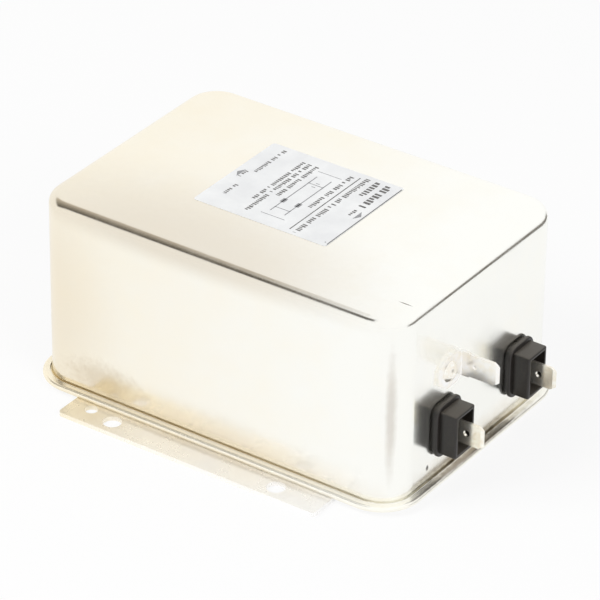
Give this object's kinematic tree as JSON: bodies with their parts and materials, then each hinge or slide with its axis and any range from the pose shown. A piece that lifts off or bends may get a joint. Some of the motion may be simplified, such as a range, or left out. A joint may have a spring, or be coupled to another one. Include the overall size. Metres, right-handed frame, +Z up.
{
  "type": "power line filter",
  "caption": "Power line filter in a drawn metal can on a drilled plate, with shrouded push-on terminals at both ends and an earth tab.",
  "frame": {"origin": "middle of the four screw holes, on the underside of the mounting plate", "axes": "+X toward the line end along the can, +Z up from the mounting plate, +Y across the can away from the earth tab"},
  "size_m": [0.1331, 0.0958, 0.0553],
  "materials": {
    "tinned_steel": "bright tin plate on drawn steel",
    "plate_steel": "dull plated sheet",
    "label_film": "matt printed film",
    "shroud_plastic": "black moulded plastic",
    "tinned_brass": "bright tinned brass",
    "sheet_paper": "plain insulating board",
    "compound": "filled casting resin",
    "ferrite": "coated ferrite",
    "divider_plastic": "plain moulded plastic",
    "enamelled_wire": "clear enamelled copper",
    "capacitor_film": "yellow film capacitor box",
    "capacitor_blue": "blue dipped capacitor",
    "resistor_coat": "tan lacquer",
    "wire_red": "insulated wire",
    "wire_blue": "insulated wire",
    "wire_green": "insulated wire"
  },
  "bodies": {
    "root": {"can": "tinned_steel", "base_plate": "tinned_steel", "mounting_plate": "plate_steel", "label": "label_film", "line_shroud_left": "shroud_plastic", "line_shroud_right": "shroud_plastic", "load_shroud_left": "shroud_plastic", "load_shroud_right": "shroud_plastic", "line_tab_left": "tinned_brass", "line_tab_right": "tinned_brass", "load_tab_left": "tinned_brass", "load_tab_right": "tinned_brass", "earth_tab": "tinned_brass", "earth_rivet": "tinned_steel", "insulating_sheet": "sheet_paper", "potting_compound": "compound", "choke_core": "ferrite", "choke_divider": "divider_plastic", "choke_winding_left": "enamelled_wire", "choke_winding_right": "enamelled_wire", "line_x_capacitor": "capacitor_film", "load_x_capacitor": "capacitor_film", "y_capacitor_left": "capacitor_blue", "y_capacitor_right": "capacitor_blue", "discharge_resistor": "resistor_coat", "line_wire_left": "wire_red", "line_wire_right": "wire_red", "load_wire_left": "wire_blue", "load_wire_right": "wire_blue", "earth_wire": "wire_green"}
  },
  "joints": []
}
